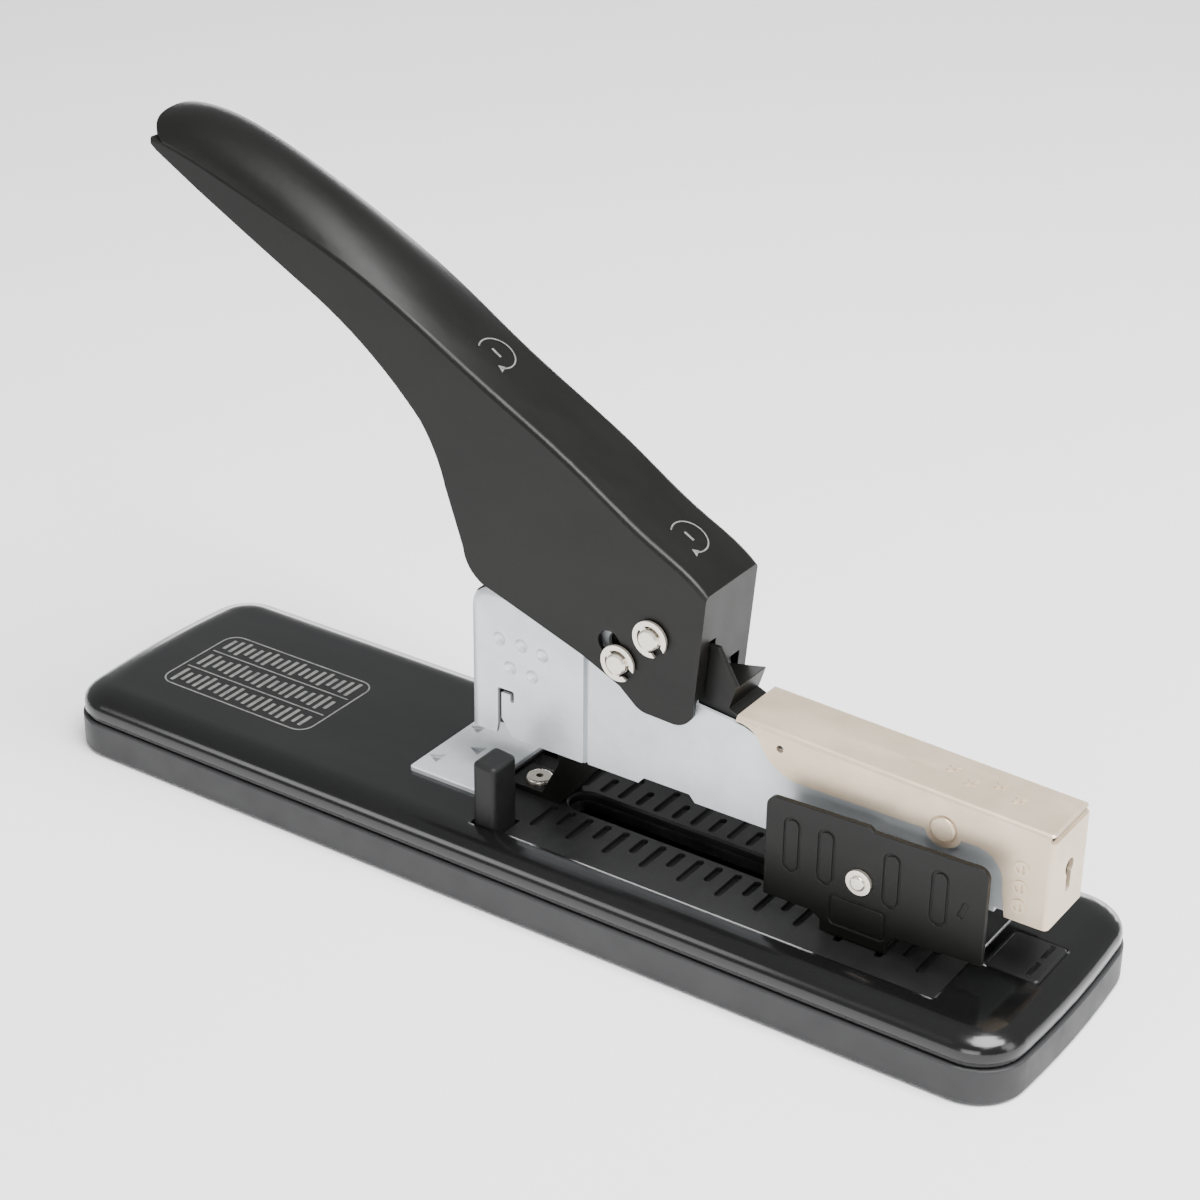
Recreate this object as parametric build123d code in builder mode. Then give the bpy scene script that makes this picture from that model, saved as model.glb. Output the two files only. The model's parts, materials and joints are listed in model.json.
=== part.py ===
"""Heavy-duty desktop stapler with a long lever handle.

Frame: millimetres, +Z up, +X towards the nose, origin on the table at the middle of the base.
"""
from build123d import *
from math import cos, radians, sin
import os

# ---------------------------------------------------------------- driving dimensions
# Base
base_length = 262.0
base_width = 67.5
base_corner = 12.0
end_bow = 1.9
pad_thickness = 2.0
skirt_bottom = 0.4
skirt_top = 9.0
skirt_wall = 2.4
skirt_floor = 2.6
groove_height = 1.4
groove_depth = 0.9
shell_inset = 0.5
shell_top = 16.2
shell_sheet = 1.2
shoulder_run = 8.0
shoulder_drop = 4.2

# Inner plate, scale insert and anvil
plate_bottom = 9.2
plate_top = 12.0
plate_rear, plate_front = -60.0, 124.0
plate_half_width = 26.0
recess_rear, recess_front = -9.4, 109.0
recess_half_width = 24.5
tongue_rear, tongue_half_width = -14.6, 12.0
insert_top = 14.2
channel_half_width = 4.0
channel_start, channel_end = 1.2, 105.0
slot_pitch = 5.0
slot_start = 0.8
slot_width, slot_depth = 1.9, 1.2
slot_inner_end = 5.6
long_slot_end, short_slot_end = 15.8, 12.2
anvil_rear, anvil_front = 112.0, 124.4
anvil_half_width = 7.5
anvil_top = 16.5
anvil_groove_x = 121.4

# Floor plate, button and hinge bracket
floor_plate_rear, floor_plate_front = -35.0, -15.0
floor_plate_half_width = 15.0
floor_plate_thickness = 1.2
button_x, button_y = -5.9, -20.5
button_size_x, button_size_y = 6.3, 9.0
button_top_rear, button_top_front = 32.4, 31.8
button_gap = 0.4
rivet_x = -8.0
rivet_radius = 2.2
rivet_flange_radius = 3.2
hinge_x, hinge_z = 6.0, 42.0
pin_radius = 2.5
running_gap = 0.05
bracket_inner, bracket_outer = 3.2, 4.7

# Body and magazine
wall_inner, wall_outer = 6.5, 7.5
body_rear, body_front = -18.0, 121.8
body_bottom = 29.9
body_sheet = 1.0
floor_start = 30.0
wrap_outer = 8.5
wrap_rear, wrap_front = -22.0, 10.0
wrap_bottom, wrap_top = 30.4, 68.0
cover_rear, cover_front = 49.9, 125.5
cover_rear_top, cover_front_top = 56.0, 53.0
cover_sheet = 1.0
nose_bottom = 30.2
nose_rear = 115.8
core_half_width = 5.15
core_rear, core_front = 22.0, 122.4
core_top = 38.6
rod_z = 34.6
rod_radius = 1.5
strip_rear, strip_front = 80.0, 122.5

# Handle, drive arm and driver
pivot_x, pivot_z = 29.2, 69.5
drive_x, drive_z = 21.0, 61.0
handle_sheet = 1.2
handle_front = 42.7
handle_front_slope = 0.08
handle_tail = -109.4
flange_tail = -107.0
pin_half_length = 12.5
clip_inner, clip_outer = 10.9, 11.6
clip_radius = 4.3
groove_radius = 1.9
arm_inner, arm_outer = 5.0, 6.2
blade_rear, blade_front = 122.9, 123.9

# Paper guide
guide_rear, guide_front = 61.7, 114.3
guide_inner, guide_outer = 13.0, 14.2
guide_bottom, guide_bottom_front, guide_top = 18.6, 20.4, 43.5

os.makedirs("parts", exist_ok=True)


def finish(part, label):
    """Name a finished piece and write it."""
    part.label = label
    export_step(part, f"parts/{label}.step")


# ---------------------------------------------------------------- base
def footprint(inset):
    """Base outline: straight long sides, slightly bowed ends, rounded corners."""
    half_length = base_length / 2 - inset
    half_width = base_width / 2 - inset
    shoulder = half_length - end_bow
    with BuildSketch() as outline:
        with BuildLine():
            Line((-shoulder, -half_width), (shoulder, -half_width))
            ThreePointArc((shoulder, -half_width), (half_length, 0), (shoulder, half_width))
            Line((shoulder, half_width), (-shoulder, half_width))
            ThreePointArc((-shoulder, half_width), (-half_length, 0), (-shoulder, -half_width))
        make_face()
        fillet(outline.vertices(), base_corner - inset)
    return outline.sketch


boss_places = [(x, y) for x in (-52.0, 30.0, 104.0) for y in (-21.5, 21.5)]
boss_radius = 4.5
screw_radius = 1.9
pad_inset = 5.0

with BuildPart() as base_skirt:
    with BuildSketch(Plane.XY.offset(skirt_bottom)):
        add(footprint(0))
    extrude(amount=skirt_top - skirt_bottom)
    fillet(base_skirt.edges().group_by(Axis.Z)[-1], 0.5)
    fillet(base_skirt.edges().group_by(Axis.Z)[0], 0.8)
    with BuildSketch(Plane.XY.offset(skirt_bottom + skirt_floor)):
        add(footprint(skirt_wall))
    extrude(amount=skirt_top, mode=Mode.SUBTRACT)
    with BuildSketch(Plane.XY.offset(skirt_bottom)):
        add(footprint(pad_inset))
    extrude(amount=pad_thickness - skirt_bottom, mode=Mode.SUBTRACT)
    with BuildSketch(Plane.XY.offset(pad_thickness)):
        with Locations(boss_places):
            Circle(boss_radius)
    extrude(amount=plate_bottom - pad_thickness)
    with BuildSketch(Plane.XY.offset(pad_thickness)):
        with Locations(boss_places):
            Circle(screw_radius)
    extrude(amount=plate_bottom, mode=Mode.SUBTRACT)
finish(base_skirt.part, "base_skirt")

with BuildPart() as base_pad:
    with BuildSketch():
        add(footprint(pad_inset))
        with Locations(boss_places):
            Circle(boss_radius, mode=Mode.SUBTRACT)
    extrude(amount=pad_thickness)
    chamfer(base_pad.faces().sort_by(Axis.Z)[0].outer_wire().edges(), 0.5)
finish(base_pad.part, "base_pad")

with BuildPart() as base_screws:
    with BuildSketch(Plane.XY.offset(pad_thickness)):
        with Locations(boss_places):
            Circle(screw_radius)
    extrude(amount=plate_top - pad_thickness - 0.2)
    with BuildSketch(Plane.XY.offset(skirt_bottom + 0.1)):
        with Locations(boss_places):
            Circle(3.6)
    extrude(amount=pad_thickness - skirt_bottom - 0.1)
    with BuildSketch(Plane.XY.offset(skirt_bottom + 0.1)):
        with Locations(boss_places):
            Rectangle(4.2, 0.8)
            Rectangle(0.8, 4.2)
    extrude(amount=0.9, mode=Mode.SUBTRACT)
finish(base_screws.part, "base_screws")


def shell_solid(inset, drop, foot):
    """Rim block with the shoulder stacked on it as tapered layers."""
    rim_z = shell_top - drop - shoulder_drop
    turns = [10 * step for step in range(10)]
    with BuildPart() as form:
        with BuildSketch(Plane.XY.offset(foot)):
            add(footprint(shell_inset + inset))
        extrude(amount=rim_z - foot)
        for low, high in zip(turns, turns[1:]):
            heights = [rim_z + shoulder_drop * sin(radians(t)) for t in (low, high)]
            insets = [shell_inset + inset + shoulder_run * (1 - cos(radians(t))) for t in (low, high)]
            for height, layer_inset in zip(heights, insets):
                with BuildSketch(Plane.XY.offset(height)):
                    add(footprint(layer_inset))
            loft(ruled=True)
    return form.part


window_half_height = button_size_y / 2 + button_gap
window_half_length = button_size_x / 2 + button_gap


def recess_outline():
    """Outline of the insert: a wide rectangle with a narrow tongue back to the floor plate."""
    with BuildSketch() as outline:
        with Locations(((recess_rear + recess_front) / 2, 0)):
            RectangleRounded(recess_front - recess_rear, 2 * recess_half_width, 0.3)
        with Locations(((tongue_rear + recess_rear) / 2 + 1, 0)):
            Rectangle(recess_rear - tongue_rear + 2, 2 * tongue_half_width)
    return outline.sketch


with BuildPart() as base_shell:
    add(shell_solid(0, 0, skirt_top + groove_height))
    add(shell_solid(shell_sheet, shell_sheet, skirt_top + groove_height), mode=Mode.SUBTRACT)
    with BuildSketch(Plane.XY.offset(skirt_top)):
        add(footprint(groove_depth))
        add(footprint(shell_inset + shell_sheet + 0.6), mode=Mode.SUBTRACT)
    extrude(amount=groove_height)
    with BuildSketch(Plane.XY.offset(plate_top)):
        add(recess_outline())
        with Locations((button_x, button_y)):
            Rectangle(2 * window_half_length, 2 * window_half_height)
        with Locations(((anvil_rear + anvil_front) / 2, 0)):
            Rectangle(anvil_front - anvil_rear, 2 * anvil_half_width)
    extrude(amount=shell_top, mode=Mode.SUBTRACT)
finish(base_shell.part, "base_shell")

pad_rear, pad_front = -44.0, -16.2
channel_middle = (channel_start + channel_end) / 2
channel_length = channel_end - channel_start

with BuildPart() as base_plate:
    with BuildSketch(Plane.XY.offset(plate_bottom)):
        with Locations(((plate_rear + plate_front) / 2, 0)):
            RectangleRounded(plate_front - plate_rear, 2 * plate_half_width, 5)
    extrude(amount=plate_top - plate_bottom)
    with BuildSketch(Plane.XY.offset(plate_top)):
        with Locations(((pad_rear + pad_front) / 2, 0)):
            RectangleRounded(pad_front - pad_rear, 2 * floor_plate_half_width, 2)
    extrude(amount=shell_top - shell_sheet - plate_top)
    with BuildSketch(Plane.XY.offset(plate_bottom)):
        with Locations(boss_places):
            Circle(screw_radius)
        with Locations((button_x, button_y)):
            Rectangle(2 * window_half_length, 2 * window_half_height)
        with Locations((rivet_x, 0)):
            Circle(rivet_radius)
        with Locations((channel_middle, 0)):
            SlotOverall(channel_length, 2 * channel_half_width)
    extrude(amount=shell_top, mode=Mode.SUBTRACT)
finish(base_plate.part, "base_plate")

long_slots = [slot_start + 2 * slot_pitch * step for step in range(11)]
short_slots = [place + slot_pitch for place in long_slots[:10]]

with BuildPart() as base_insert:
    with BuildSketch(Plane.XY.offset(plate_top)):
        add(recess_outline())
        with Locations((button_x, button_y)):
            Rectangle(2 * window_half_length, 2 * window_half_height, mode=Mode.SUBTRACT)
        with Locations((rivet_x, 0)):
            Circle(rivet_radius, mode=Mode.SUBTRACT)
        with Locations((channel_middle, 0)):
            SlotOverall(channel_length, 2 * channel_half_width, mode=Mode.SUBTRACT)
    extrude(amount=insert_top - plate_top)
    channel_edge = base_insert.edges().group_by(Axis.Z)[-1].filter_by(
        lambda edge: abs(edge.center().Y) <= channel_half_width + 0.01
        and channel_start - 1 < edge.center().X < channel_end + 1)
    chamfer(channel_edge, 0.5)
    with BuildSketch(Plane.XY.offset(insert_top - slot_depth)):
        for places, outer_end in ((long_slots, long_slot_end), (short_slots, short_slot_end)):
            for side in (-1, 1):
                middle = side * (slot_inner_end + outer_end) / 2
                with Locations([(x, middle) for x in places]):
                    SlotOverall(outer_end - slot_inner_end, slot_width, rotation=90)
    extrude(amount=slot_depth + 0.1, mode=Mode.SUBTRACT)
finish(base_insert.part, "base_insert")

with BuildPart() as anvil:
    with BuildSketch(Plane.XY.offset(plate_top)):
        with Locations(((anvil_rear + anvil_front) / 2, 0)):
            Rectangle(anvil_front - anvil_rear, 2 * anvil_half_width)
    extrude(amount=anvil_top - plate_top)
    fillet(anvil.edges().filter_by(Axis.Z), 1.2)
    chamfer(anvil.edges().group_by(Axis.Z)[-1], 0.4)
    with BuildSketch(Plane.YZ.offset(anvil_groove_x - 0.7)):
        with Locations((-3.6, anvil_top + 4.7), (3.6, anvil_top + 4.7)):
            Circle(5.5)
    extrude(amount=1.4, mode=Mode.SUBTRACT)
finish(anvil.part, "anvil")

dimple_places = [(-32.0, -8.2), (-32.0, 8.2), (-26.0, 0.0)]

with BuildPart() as floor_plate:
    with BuildSketch(Plane.XY.offset(shell_top)):
        with Locations(((floor_plate_rear + floor_plate_front) / 2, 0)):
            RectangleRounded(floor_plate_front - floor_plate_rear, 2 * floor_plate_half_width, 0.8)
    extrude(amount=floor_plate_thickness)
    chamfer(floor_plate.edges().group_by(Axis.Z)[-1], 0.25)
    with BuildSketch(Plane.XY.offset(shell_top + floor_plate_thickness - 0.9)):
        with Locations(dimple_places):
            RegularPolygon(2.4, 3, rotation=180)
    extrude(amount=1, mode=Mode.SUBTRACT)
finish(floor_plate.part, "floor_plate")

button_flange_bottom, button_flange_top = 7.6, 8.8
button_spring_bottom = skirt_bottom + skirt_floor + 0.3
button_rear, button_front = button_x - button_size_x / 2, button_x + button_size_x / 2

with BuildPart() as release_button:
    with BuildSketch(Plane.XZ.offset(-button_y - button_size_y / 2)):
        with BuildLine():
            Polyline(
                (button_rear, button_flange_bottom), (button_front, button_flange_bottom),
                (button_front, button_top_front), (button_rear, button_top_rear), close=True,
            )
        make_face()
    extrude(amount=button_size_y)
    fillet(release_button.edges().filter_by(Axis.Z), 1.4)
    fillet(release_button.faces().sort_by(Axis.Z)[-1].edges(), 1.1)
    with BuildSketch(Plane.XY.offset(button_flange_bottom)):
        with Locations((button_x, button_y)):
            RectangleRounded(button_size_x + 3, button_size_y + 3, 1)
    extrude(amount=button_flange_top - button_flange_bottom)
finish(release_button.part, "release_button")


def coil(start, direction, length, mean_radius, wire_radius, pitch):
    """Helical spring starting at a point and growing along a direction."""
    with BuildPart() as spring:
        with BuildLine() as path:
            Helix(pitch, length, mean_radius, center=start, direction=direction)
        with BuildSketch(Plane(origin=path.line @ 0, z_dir=path.line % 0)):
            Circle(wire_radius)
        sweep(is_frenet=True)
    return spring.part


button_spring = coil((button_x, button_y, button_spring_bottom + 0.2), (0, 0, 1), 3.6, 2.4, 0.3, 1.2)
finish(button_spring, "button_spring")

# ---------------------------------------------------------------- hinge bracket
foot_rear, foot_front = -13.5, 0.9
foot_top = insert_top + 1.6
ear_rear, ear_front = 0.6, 12.0
spring_x, spring_low, spring_high = -13.5, 40.4, 53.4
link_low = 30.8

with BuildPart() as hinge_bracket:
    with BuildSketch(Plane.XZ):
        with BuildLine():
            Polyline(
                (foot_rear, insert_top), (foot_front, insert_top), (2.2, foot_top + 0.6), (6.8, 21.5),
                (ear_front, 28.0), (ear_front, hinge_z + 1), (hinge_x + 3, hinge_z + 6),
                (hinge_x - 3, hinge_z + 6), (ear_rear, hinge_z + 2), (spring_x - 3, hinge_z - 2),
                (spring_x - 3, link_low),
                (ear_rear, link_low), (ear_rear, 25.0), (-4.0, foot_top), (foot_rear, foot_top), close=True,
            )
        make_face()
    extrude(amount=bracket_outer, both=True)
    with BuildSketch(Plane.XZ):
        with Locations(((foot_rear + ear_front) / 2 + 1, (foot_top + 60) / 2)):
            Rectangle(ear_front - foot_rear + 4, 60 - foot_top)
    extrude(amount=bracket_inner, both=True, mode=Mode.SUBTRACT)
    with BuildSketch(Plane.XY.offset(link_low)):
        with Locations((spring_x, 0)):
            Rectangle(6, 2 * bracket_inner)
    extrude(amount=spring_low - link_low - 0.4)
    with BuildSketch(Plane.XZ):
        with Locations((hinge_x, hinge_z)):
            Circle(pin_radius + running_gap)
    extrude(amount=10, both=True, mode=Mode.SUBTRACT)
    with BuildSketch(Plane.XY.offset(insert_top)):
        with Locations((rivet_x, 0)):
            Circle(rivet_radius)
    extrude(amount=foot_top - insert_top, mode=Mode.SUBTRACT)
finish(hinge_bracket.part, "hinge_bracket")

with BuildPart() as bracket_rivet:
    with BuildSketch(Plane.XY.offset(plate_bottom)):
        with Locations((rivet_x, 0)):
            Circle(rivet_radius)
    extrude(amount=foot_top - plate_bottom)
    with BuildSketch(Plane.XY.offset(foot_top)):
        with Locations((rivet_x, 0)):
            Circle(rivet_flange_radius)
    extrude(amount=0.9)
    fillet(bracket_rivet.edges().group_by(Axis.Z)[-1], 0.6)
    with BuildSketch(Plane.XY.offset(plate_bottom)):
        with Locations((rivet_x, 0)):
            Circle(0.9)
    extrude(amount=20, mode=Mode.SUBTRACT)
finish(bracket_rivet.part, "bracket_rivet")

# ---------------------------------------------------------------- body
arm_swing = 4.7


def swing(point, centre, turn):
    """Turn a side-view point clockwise about a centre, in degrees."""
    dx, dz = point[0] - centre[0], point[1] - centre[1]
    turn = radians(turn)
    return (centre[0] + dx * cos(turn) + dz * sin(turn), centre[1] - dx * sin(turn) + dz * cos(turn))


hook_clear_x, hook_clear_z = -8.6, 44.5
drive_rest = (drive_x, drive_z)
drive_clear = (drive_x - 2.0, drive_z + 2.7)
drive_pressed = swing(drive_rest, (hinge_x, hinge_z), arm_swing)
spring_pin_z = spring_high + 0.9

with BuildPart() as body_channel:
    with BuildSketch(Plane.XZ) as side_wall:
        with BuildLine():
            Polyline(
                (body_rear, hook_clear_z), (hook_clear_x, hook_clear_z), (hook_clear_x, body_bottom),
                (24.5, body_bottom), (26, body_bottom + 1.7), (38, body_bottom + 1.7),
                (39.5, body_bottom), (113, body_bottom), (113, 31), (body_front, 31), (body_front, 49),
                (57, 51.2), (51.5, 53.4), (39.2, 54.8), (37, 69), (34, 76), (18, 76), (13.5, 64), (10, 62),
                (body_rear, 62), close=True,
            )
        make_face()
    extrude(amount=wall_outer, both=True)
    with BuildSketch(Plane.XZ):
        with Locations(((floor_start - 40), 60)):
            Rectangle(80, 160)
        with Locations((floor_start + 50, body_bottom + body_sheet + 30)):
            Rectangle(140, 60)
    extrude(amount=wall_inner, both=True, mode=Mode.SUBTRACT)
    with BuildSketch(Plane.XY.offset(74.8)):
        with Locations((26, 0)):
            Rectangle(14, 2 * wall_inner)
    extrude(amount=1.2)
    with BuildSketch(Plane.XZ):
        with Locations((hinge_x, hinge_z), (pivot_x, pivot_z)):
            Circle(pin_radius)
        with Locations((spring_x, spring_pin_z)):
            Circle(1.2)
        with BuildLine():
            Polyline(drive_clear, drive_rest, drive_pressed)
        trace(line_width=2 * (pin_radius + 0.4))
        with Locations(drive_clear, drive_rest, drive_pressed):
            Circle(pin_radius + 0.4)
    extrude(amount=wall_outer, both=True, mode=Mode.SUBTRACT)
    for side in (-1, 1):
        with BuildSketch(Plane.XZ.offset(side * wall_outer)):
            with Locations((wrap_front + 0.4, (wrap_bottom + wrap_top) / 2)):
                Rectangle(0.8, wrap_top - wrap_bottom + 4)
        extrude(amount=-side * 0.6, mode=Mode.SUBTRACT)
finish(body_channel.part, "body_channel")

wrap_dimples = [(-13.2, 55.2), (-7.0, 55.2), (-1.2, 54.6), (-10.2, 48.6), (-4.0, 48.2)]
hook_x, hook_z = -13.2, 42.0
dish_radius, dish_depth = 2.3, 0.8

with BuildPart() as rear_wrap:
    with BuildSketch(Plane.XZ):
        with Locations(((wrap_rear + wrap_front) / 2, (wrap_bottom + wrap_top) / 2)):
            Rectangle(wrap_front - wrap_rear, wrap_top - wrap_bottom)
    extrude(amount=wrap_outer, both=True)
    fillet(rear_wrap.edges().filter_by(Axis.Y).group_by(Axis.Z)[-1].sort_by(Axis.X)[0], 7.0)
    fillet(rear_wrap.edges().filter_by(Axis.Z).group_by(Axis.X)[0], 3.0)
    with BuildSketch(Plane.XY.offset(wrap_bottom)):
        with Locations(((wrap_rear + wrap_front) / 2 + 1, 0)):
            RectangleRounded(wrap_front - wrap_rear, 2 * wall_outer, 1.9)
        with Locations((wrap_front, 0)):
            Rectangle(8, 2 * wall_outer)
    extrude(amount=60, mode=Mode.SUBTRACT)
    with BuildSketch(Plane.XZ):
        with Locations((hook_x, (wrap_bottom + hook_z) / 2)):
            Rectangle(1.1, hook_z - wrap_bottom)
        with Locations((hook_x + 1.75, hook_z)):
            SlotOverall(4.6, 1.1)
        with Locations((hook_x + 3.5, hook_z - 1.0)):
            SlotOverall(3.0, 1.1, rotation=90)
        with BuildLine():
            Polyline(
                (hook_x - 1, wrap_bottom), (hook_x + 3.6, wrap_bottom), (hook_x, wrap_bottom + 5.2),
                close=True,
            )
        make_face()
    extrude(amount=wrap_outer + 1, both=True, mode=Mode.SUBTRACT)
    dish_y = wrap_outer - dish_depth + dish_radius
    with Locations([(x, side * dish_y, z) for x, z in wrap_dimples for side in (-1, 1)]):
        Sphere(dish_radius, mode=Mode.SUBTRACT)
finish(rear_wrap.part, "rear_wrap")

lobe_x, lobe_z, lobe_radius = 100.6, 46.0, 4.4
cover_rivet_radius, rivet_groove_radius = 2.8, 3.3
cover_low = 44.7

mark_x, mark_radius, mark_height = 118.8, 1.7, 0.35
mark_places = [34.0, 38.6, 43.2]
top_mark_places = [(97.0, 2.2), (102.5, -0.4), (108.0, 2.2), (113.5, -0.4)]
keyhole_low, keyhole_high = 36.8, 41.8

with BuildPart() as nose_cover:
    with BuildSketch(Plane.XZ.offset(-wrap_outer)):
        with BuildLine():
            Polyline(
                (cover_rear, cover_rear_top), (cover_front, cover_front_top), (cover_front, nose_bottom),
                (nose_rear, nose_bottom), (nose_rear - 1, 37),
            )
            ThreePointArc((nose_rear - 1, 37), (nose_rear - 3, 42.8), (nose_rear - 8.5, cover_low))
            Line((nose_rear - 8.5, cover_low), (65, cover_low))
            ThreePointArc((65, cover_low), (60.6, 46.3), (56.4, 50.8))
            ThreePointArc((56.4, 50.8), (53.4, 54.0), (cover_rear, cover_rear_top - 1.2))
            Line((cover_rear, cover_rear_top - 1.2), (cover_rear, cover_rear_top))
        make_face()
        with Locations((lobe_x, lobe_z)):
            Circle(lobe_radius)
    extrude(amount=2 * wrap_outer)
    top_edges = nose_cover.edges().filter_by(lambda edge: edge.center().Z > 51.5 and edge.length > 60)
    fillet(top_edges, 1.1)
    fillet(nose_cover.edges().filter_by(Axis.Z).group_by(Axis.X)[-1], 1.2)
    with BuildSketch(Plane.XZ):
        with BuildLine():
            Polyline(
                (cover_rear - 2, 20), (cover_front - cover_sheet, 20),
                (cover_front - cover_sheet, cover_front_top - cover_sheet),
                (cover_rear - 2, cover_rear_top - cover_sheet + 0.08), close=True,
            )
        make_face()
    extrude(amount=wall_outer, both=True, mode=Mode.SUBTRACT)
    with BuildSketch(Plane.XZ):
        with Locations((61.0, 51.6)):
            Circle(0.9)
        with Locations((cover_front - 0.4, cover_front_top - 1.2)):
            Circle(0.8)
    extrude(amount=wrap_outer, both=True, mode=Mode.SUBTRACT)
    with BuildSketch(Plane.YZ.offset(cover_front - 3)):
        with Locations((0, (keyhole_low + keyhole_high) / 2)):
            SlotOverall(keyhole_high - keyhole_low + 2, 2.2, rotation=90)
        with Locations((0, keyhole_high)):
            Circle(1.9)
    extrude(amount=4, mode=Mode.SUBTRACT)
    for side in (-1, 1):
        with BuildSketch(Plane.XZ.offset(side * wrap_outer)):
            with Locations((lobe_x, lobe_z)):
                Circle(rivet_groove_radius)
                Circle(cover_rivet_radius, mode=Mode.SUBTRACT)
        extrude(amount=-side * 0.35, mode=Mode.SUBTRACT)
        with BuildSketch(Plane.XZ.offset(side * (wrap_outer + mark_height))):
            with Locations([(mark_x, z) for z in mark_places]):
                Circle(mark_radius)
                Circle(mark_radius - 0.6, mode=Mode.SUBTRACT)
                Rectangle(0.6, 2 * mark_radius)
        extrude(amount=-side * (mark_height + 0.2))
    roof_drop = (cover_rear_top - cover_front_top) / (cover_front - cover_rear)
    roof = Plane(
        origin=(cover_rear, 0, cover_rear_top + mark_height),
        x_dir=(1, 0, -roof_drop),
        z_dir=(roof_drop, 0, 1),
    )
    with BuildSketch(roof):
        with Locations([(x - cover_rear, y) for x, y in top_mark_places]):
            SlotOverall(3.6, 0.8, rotation=60)
            SlotOverall(2.4, 0.8, rotation=-30)
    extrude(amount=-mark_height - 0.2)
finish(nose_cover.part, "nose_cover")

with BuildPart() as cover_rivets:
    for side in (-1, 1):
        with BuildSketch(Plane.XZ.offset(side * wrap_outer)):
            with Locations((lobe_x, lobe_z)):
                Circle(cover_rivet_radius)
        extrude(amount=0.6 * side)
    fillet(cover_rivets.edges().group_by(Axis.Y)[0] + cover_rivets.edges().group_by(Axis.Y)[-1], 0.4)
finish(cover_rivets.part, "cover_rivets")

core_sheet = 0.9
slot_half_width = 1.7
core_slot_front = 104.0

core_middle = (body_bottom + body_sheet + core_top) / 2
core_height = core_top - body_bottom - body_sheet

with BuildPart() as magazine_core:
    with BuildSketch(Plane.YZ.offset(core_rear)):
        with Locations((0, core_middle)):
            Rectangle(2 * core_half_width, core_height)
        with Locations((0, core_middle - core_sheet)):
            Rectangle(2 * (core_half_width - core_sheet), core_height, mode=Mode.SUBTRACT)
    extrude(amount=core_front - core_rear)
    with BuildSketch(Plane.XY.offset(core_top)):
        with Locations(((core_rear + core_slot_front) / 2, 0)):
            Rectangle(core_slot_front - core_rear, 2 * slot_half_width)
    extrude(amount=-2, mode=Mode.SUBTRACT)
finish(magazine_core.part, "magazine_core")

staple_crown, staple_low = 39.4, 31.4
staple_half_width, staple_wire = 6.35, 0.95

with BuildPart() as staple_strip:
    with BuildSketch(Plane.YZ.offset(strip_rear)):
        with Locations((0, (staple_crown + staple_low) / 2)):
            Rectangle(2 * staple_half_width, staple_crown - staple_low)
        with Locations((0, (staple_crown + staple_low) / 2 - 0.65)):
            Rectangle(2 * (staple_half_width - staple_wire), staple_crown - staple_low, mode=Mode.SUBTRACT)
    extrude(amount=strip_front - strip_rear)
    fillet(staple_strip.edges().filter_by(Axis.X).group_by(Axis.Z)[-1], 0.5)
finish(staple_strip.part, "staple_strip")

holder_rear, holder_front = 22.4, 106.0

with BuildPart() as rod_holders:
    for place in (holder_rear, holder_front):
        with BuildSketch(Plane.YZ.offset(place)):
            with Locations((0, (31.2 + core_top - core_sheet) / 2)):
                Rectangle(2 * (core_half_width - core_sheet), core_top - core_sheet - 31.2)
            with Locations((0, rod_z)):
                Circle(rod_radius, mode=Mode.SUBTRACT)
        extrude(amount=1.4)
finish(rod_holders.part, "rod_holders")

with BuildPart() as pusher_rod:
    with BuildSketch(Plane.YZ.offset(holder_rear - 0.4)):
        with Locations((0, rod_z)):
            Circle(rod_radius)
    extrude(amount=holder_front - holder_rear + 2.2)
    chamfer(pusher_rod.edges(), 0.3)
finish(pusher_rod.part, "pusher_rod")

pusher_rear, pusher_front = 64.0, 79.6
pusher_top = 41.0

with BuildPart() as pusher:
    with BuildSketch(Plane.YZ.offset(pusher_rear)):
        with Locations((0, (31.6 + pusher_top) / 2)):
            Rectangle(12.4, pusher_top - 31.6)
        with Locations((0, 30 + (core_top + 0.35 - 30) / 2)):
            Rectangle(2 * (core_half_width + 0.3), core_top + 0.35 - 30, mode=Mode.SUBTRACT)
        with Locations((0, (36 + pusher_top) / 2)):
            Rectangle(2.6, pusher_top - 36)
        with Locations((0, (32.2 + 37.0) / 2)):
            Rectangle(7.6, 4.8)
        with Locations((0, rod_z)):
            Circle(rod_radius + running_gap, mode=Mode.SUBTRACT)
    extrude(amount=pusher_front - pusher_rear)
finish(pusher.part, "pusher")

pusher_spring_length = pusher_rear - holder_rear - 3.4
pusher_spring = coil((holder_rear + 2.2, 0, rod_z), (1, 0, 0), pusher_spring_length, 2.15, 0.25, 3.4)
finish(pusher_spring, "pusher_spring")

with BuildPart() as hinge_pin:
    with BuildSketch(Plane.XZ):
        with Locations((hinge_x, hinge_z)):
            Circle(pin_radius)
    extrude(amount=wall_outer, both=True)
    chamfer(hinge_pin.edges(), 0.3)
finish(hinge_pin.part, "hinge_pin")

with BuildPart() as spring_pin:
    with BuildSketch(Plane.XZ):
        with Locations((spring_x, spring_pin_z)):
            Circle(1.2)
    extrude(amount=wall_outer, both=True)
finish(spring_pin.part, "spring_pin")

body_spring = coil((spring_x, 0, spring_low + 0.4), (0, 0, 1), spring_high - spring_low - 1.2, 2.6, 0.35, 1.5)
finish(body_spring, "body_spring")

# ---------------------------------------------------------------- drive arm and driver
tongue_low, tongue_high = 49.3, 50.9
window_gap = 0.3
beam_front = 119.0
ear_top = 69.6
far_ear_top = 60.4

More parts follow.
